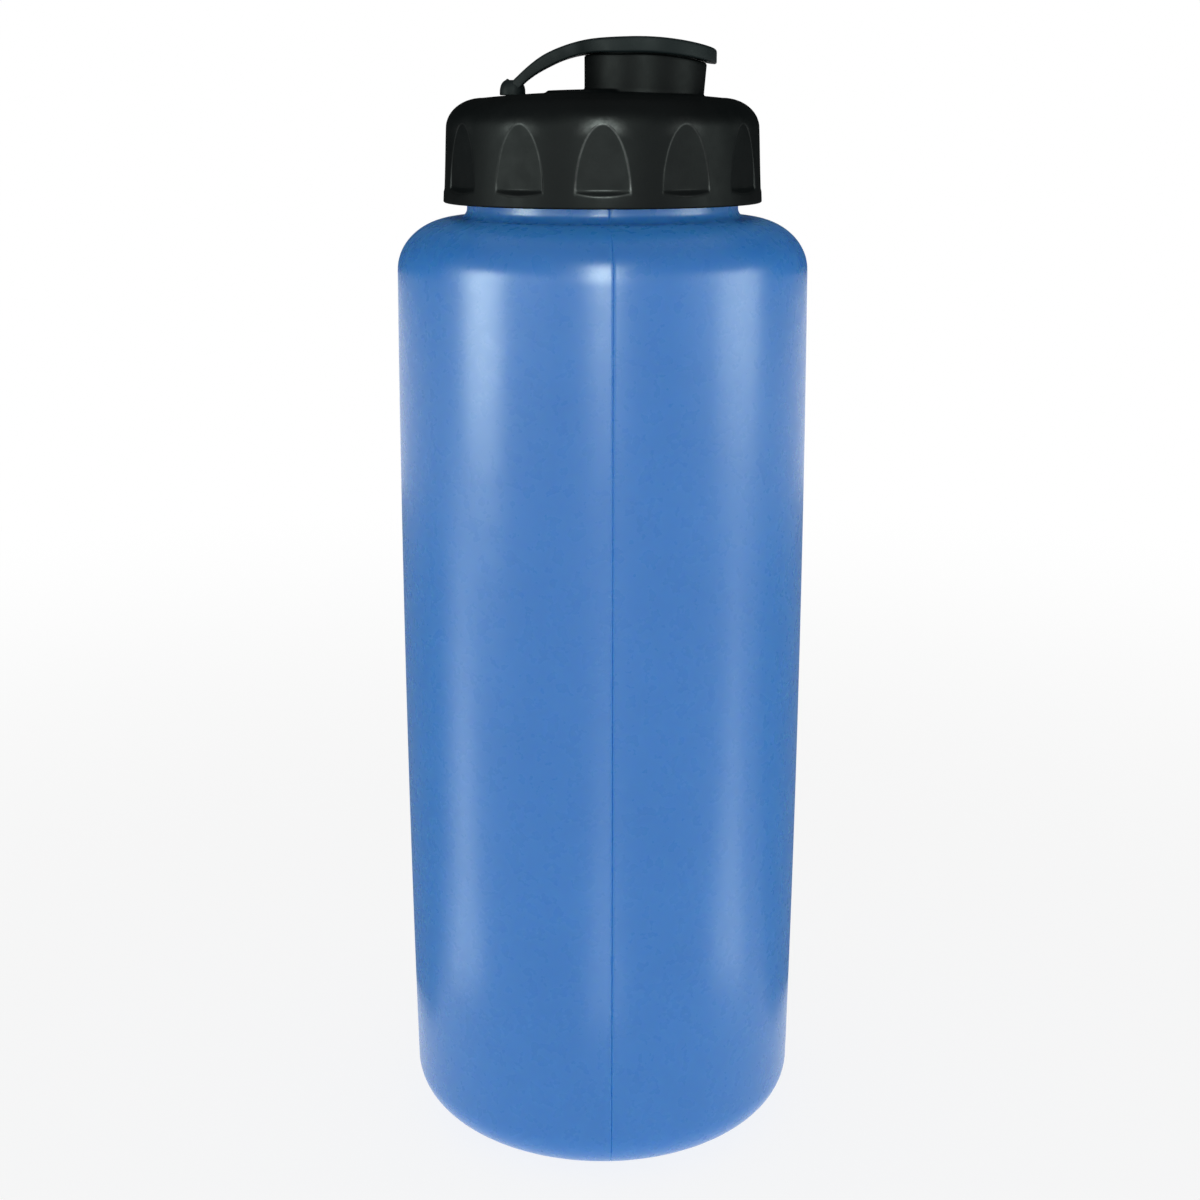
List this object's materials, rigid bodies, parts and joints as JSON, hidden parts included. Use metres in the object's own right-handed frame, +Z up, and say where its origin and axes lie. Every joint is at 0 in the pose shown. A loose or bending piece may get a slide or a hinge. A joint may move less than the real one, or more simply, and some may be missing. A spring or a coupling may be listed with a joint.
{
  "type": "flip-top grip bottle",
  "caption": "Tall round squeeze bottle with a screw lid that has scalloped finger grips, an offset round spout, and a strap cap anchored on the lid that flips over the spout.",
  "frame": {"origin": "on the floor, at the centre of the standing ring", "axes": "+Z up along the bottle, +X from the strap's anchor towards the spout"},
  "size_m": [0.0892, 0.0892, 0.2431],
  "materials": {
    "bottle": "satin translucent blue polyethylene with a fine stipple and a moulding seam",
    "lid": "satin black polypropylene",
    "seal": "soft off-white seal",
    "strap": "soft black polyethylene, slightly green"
  },
  "bodies": {
    "bottle": {"bottle": "bottle"},
    "seal": {"seal_ring": "seal"},
    "lid": {"lid": "lid", "strap_anchor": "strap"},
    "flip_cap": {"flip_cap": "strap"}
  },
  "joints": [
    {"name": "lid_lift", "type": "slide", "parent": "bottle", "child": "seal", "axis": [0, 0, 1], "range_m": [0, 0.025]},
    {"name": "lid_turn", "type": "hinge", "parent": "seal", "child": "lid", "pos_m": [0, 0, 0.22], "axis": [0, 0, 1], "range_deg": [0, 1800]},
    {"name": "cap_flip", "type": "hinge", "parent": "lid", "child": "flip_cap", "pos_m": [-0.01642, 0, 0.2369], "axis": [0, -1, 0], "range_deg": [0, 135]}
  ],
  "couplings": [
    {"joint": "lid_lift", "follows": "lid_turn", "m_per_rad": 0.00079577}
  ]
}
